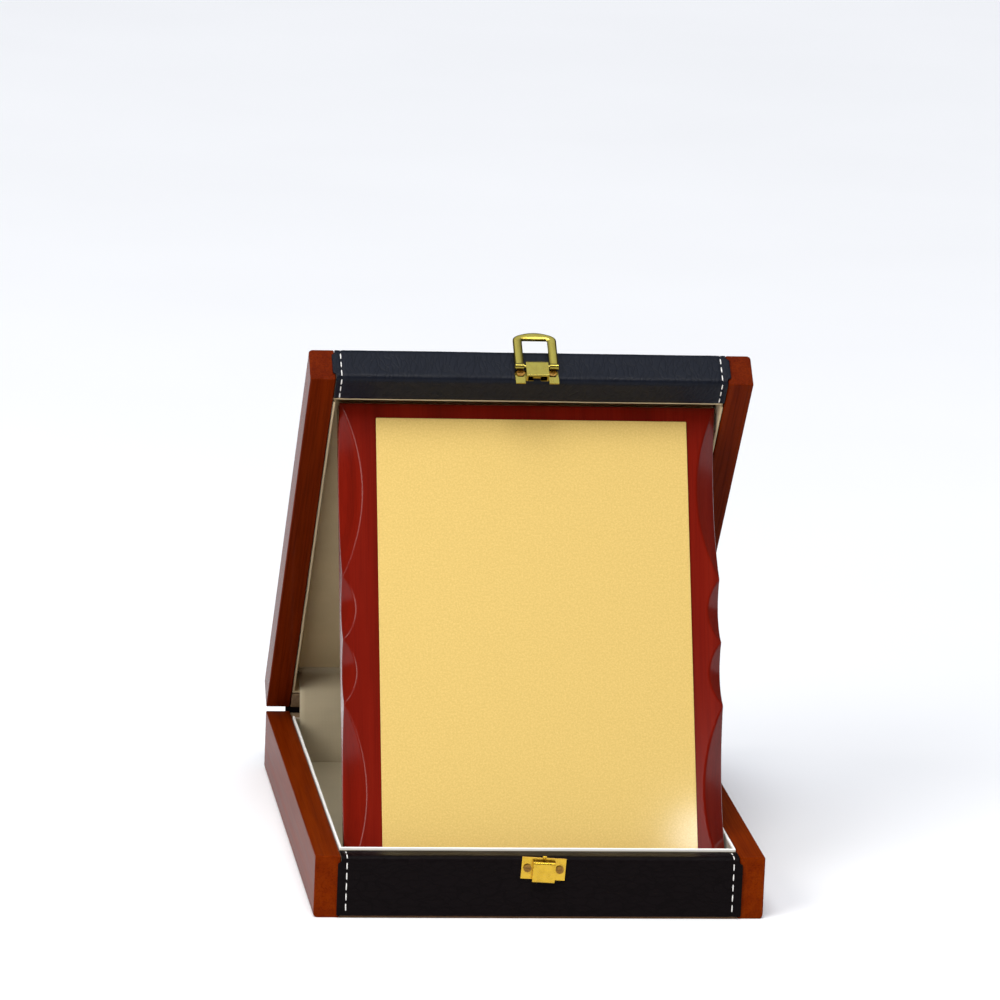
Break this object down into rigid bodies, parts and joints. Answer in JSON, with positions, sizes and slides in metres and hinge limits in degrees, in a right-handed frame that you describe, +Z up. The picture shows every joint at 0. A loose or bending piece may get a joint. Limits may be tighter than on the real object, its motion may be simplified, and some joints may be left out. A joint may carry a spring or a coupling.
{
  "type": "presentation plaque",
  "caption": "Award plaque: mahogany board with scalloped sides and a blank gold plate, leaning in an open wood and leatherette presentation case with a hinged lid and a bail latch.",
  "frame": {"origin": "middle of the case's underside, on the surface it stands on", "axes": "+X to the viewer's right, +Y to the back where the hinge is, +Z up"},
  "size_m": [0.22, 0.2921, 0.2659],
  "materials": {
    "base_rail_wood": "satin clear varnish on reddish-brown stained wood, straight fine grain along the rail",
    "lid_rail_wood": "satin clear varnish on red-brown stained wood, straight fine grain along the rail",
    "wall_board": "raw fibreboard, hidden under leather and lining",
    "hardboard": "smooth brown hardboard",
    "leather": "black leatherette with a fine creased emboss and a soft sheen",
    "lining": "matte beige short-nap lining cloth",
    "mahogany": "deep red high-gloss lacquer over fine grain",
    "adhesive": "thin double-sided adhesive film",
    "gold_plate": "fine-grained satin gold-coloured sheet, blank",
    "latch_brass": "bright lacquered brass plating",
    "keeper_brass": "bright lacquered brass plating"
  },
  "bodies": {
    "base": {"base_left_rail": "base_rail_wood", "base_right_rail": "base_rail_wood", "base_bottom_panel": "hardboard", "base_front_board": "wall_board", "base_back_board": "wall_board", "base_front_leather": "leather", "base_back_leather": "leather", "base_spine_leather": "leather", "base_floor_pad": "lining", "base_front_lining": "lining", "base_back_lining": "lining", "base_left_lining": "lining", "base_right_lining": "lining", "hinge_lining_cloth": "lining", "keeper_plate": "keeper_brass", "keeper_screw_left": "keeper_brass", "keeper_screw_right": "keeper_brass"},
    "lid": {"lid_left_rail": "lid_rail_wood", "lid_right_rail": "lid_rail_wood", "lid_top_panel": "hardboard", "lid_front_board": "wall_board", "lid_back_board": "wall_board", "lid_leather": "leather", "lid_spine_leather": "leather", "lid_ceiling_pad": "lining", "lid_front_lining": "lining", "lid_back_lining": "lining", "lid_left_lining": "lining", "lid_right_lining": "lining", "latch_plate": "latch_brass", "latch_pin": "latch_brass", "latch_screw_left": "latch_brass", "latch_screw_right": "latch_brass"},
    "plaque": {"plaque_board": "mahogany", "plate_adhesive": "adhesive", "gold_plate": "gold_plate"},
    "bail": {"latch_bail": "latch_brass"}
  },
  "joints": [
    {"name": "lid_hinge", "type": "hinge", "parent": "base", "child": "lid", "pos_m": [0, 0.1381, 0.0324], "axis": [-1, 0, 0], "range_deg": [0, 59]},
    {"name": "plaque_lay_down", "type": "hinge", "parent": "base", "child": "plaque", "pos_m": [0, -0.11337, 0.01717], "axis": [-1, 0, 0], "range_deg": [0, 63.2]},
    {"name": "bail_swing", "type": "hinge", "parent": "lid", "child": "bail", "pos_m": [0.0017, -0.03372, 0.25189], "axis": [1, 0, 0], "range_deg": [0, 175]}
  ],
  "couplings": [
    {"joint": "plaque_lay_down", "follows": "lid_hinge", "ratio": 1.071}
  ]
}
